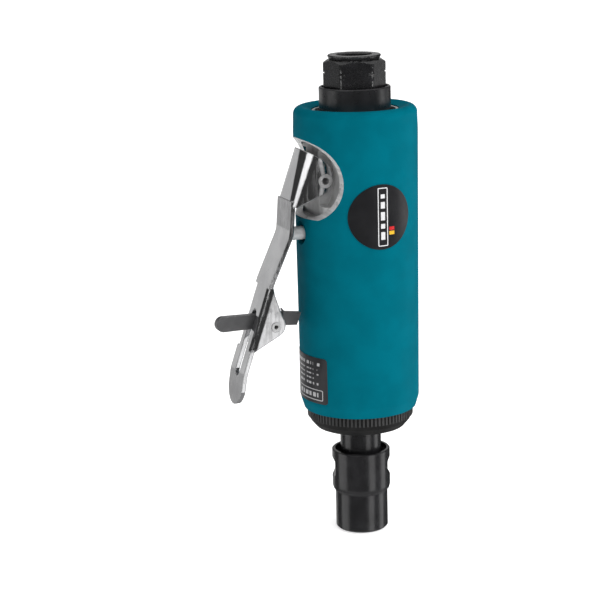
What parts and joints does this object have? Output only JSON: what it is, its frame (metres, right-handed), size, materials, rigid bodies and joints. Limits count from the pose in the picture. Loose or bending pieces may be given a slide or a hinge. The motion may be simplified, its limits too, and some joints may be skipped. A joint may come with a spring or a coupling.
{
  "type": "die grinder",
  "caption": "Straight pneumatic die grinder with a metal grip sleeve, lever throttle with lock lever, rear exhaust, threaded air inlet and collet chuck.",
  "frame": {"origin": "centre of the air inlet's mouth", "axes": "+Z along the spindle axis out of the air inlet, collet towards -Z, throttle lever on -X, badge facing -Y"},
  "size_m": [0.0737, 0.0426, 0.1676],
  "materials": {
    "sleeve_teal": "satin",
    "housing_alu": "satin",
    "black_oxide": "satin",
    "black_phosphate": "matte",
    "chrome_plate": "gloss",
    "dark_steel": "satin",
    "bright_steel": "gloss",
    "spring_wire": "satin",
    "rubber_black": "matte",
    "felt_grey": "matte",
    "brass": "satin",
    "vane_composite": "matte",
    "badge_black": "gloss",
    "label_black": "satin"
  },
  "bodies": {
    "tool": {"grip_sleeve": "sleeve_teal", "motor_housing": "housing_alu", "air_inlet_bushing": "black_oxide", "inlet_oring": "rubber_black", "inlet_screen": "brass", "exhaust_collar": "black_oxide", "exhaust_felt": "felt_grey", "lever_pivot_pin": "dark_steel", "valve_bushing": "brass", "stem_oring": "rubber_black", "valve_seat": "rubber_black", "valve_spring": "bright_steel", "rear_end_plate": "bright_steel", "cylinder_liner": "bright_steel", "front_end_plate": "bright_steel", "liner_dowel": "bright_steel", "rear_bearing_outer_race": "bright_steel", "rear_bearing_balls": "bright_steel", "front_bearing_outer_race": "bright_steel", "front_bearing_balls": "bright_steel", "clamp_nut": "black_phosphate", "spindle_seal": "felt_grey", "preload_washer": "bright_steel", "round_badge": "badge_black", "label_plate": "label_black"},
    "lever": {"throttle_lever": "chrome_plate", "lock_pin": "dark_steel", "lock_spring": "spring_wire"},
    "lock": {"lock_lever": "dark_steel"},
    "stem": {"valve_stem": "bright_steel"},
    "spindle": {"rotor": "bright_steel", "rotor_vanes": "vane_composite", "rear_bearing_inner_race": "bright_steel", "front_bearing_inner_race": "bright_steel", "collet_spindle": "black_oxide", "collet": "bright_steel", "collet_nut": "black_oxide"}
  },
  "joints": [
    {"name": "throttle", "type": "hinge", "parent": "tool", "child": "lever", "pos_m": [-0.01435, 0, -0.041], "axis": [0, -1, 0], "range_deg": [0, 8], "stiffness_Nm_per_rad": 0.5, "springref_deg": -5.73},
    {"name": "lock", "type": "hinge", "parent": "lever", "child": "lock", "pos_m": [-0.0331, 0, -0.0896], "axis": [0, -1, 0], "range_deg": [0, 77], "deforming": ["lock_spring"]},
    {"name": "valve", "type": "slide", "parent": "tool", "child": "stem", "axis": [1, 0, 0], "range_m": [0, 0.0029], "deforming": ["valve_spring"]},
    {"name": "spin", "type": "hinge", "parent": "tool", "child": "spindle", "pos_m": [0, 0, -0.09], "axis": [0, 0, 1], "continuous": true}
  ],
  "couplings": [
    {"joint": "lock", "follows": "throttle", "ratio": 9.5},
    {"joint": "valve", "follows": "throttle", "m_per_rad": 0.0195}
  ]
}
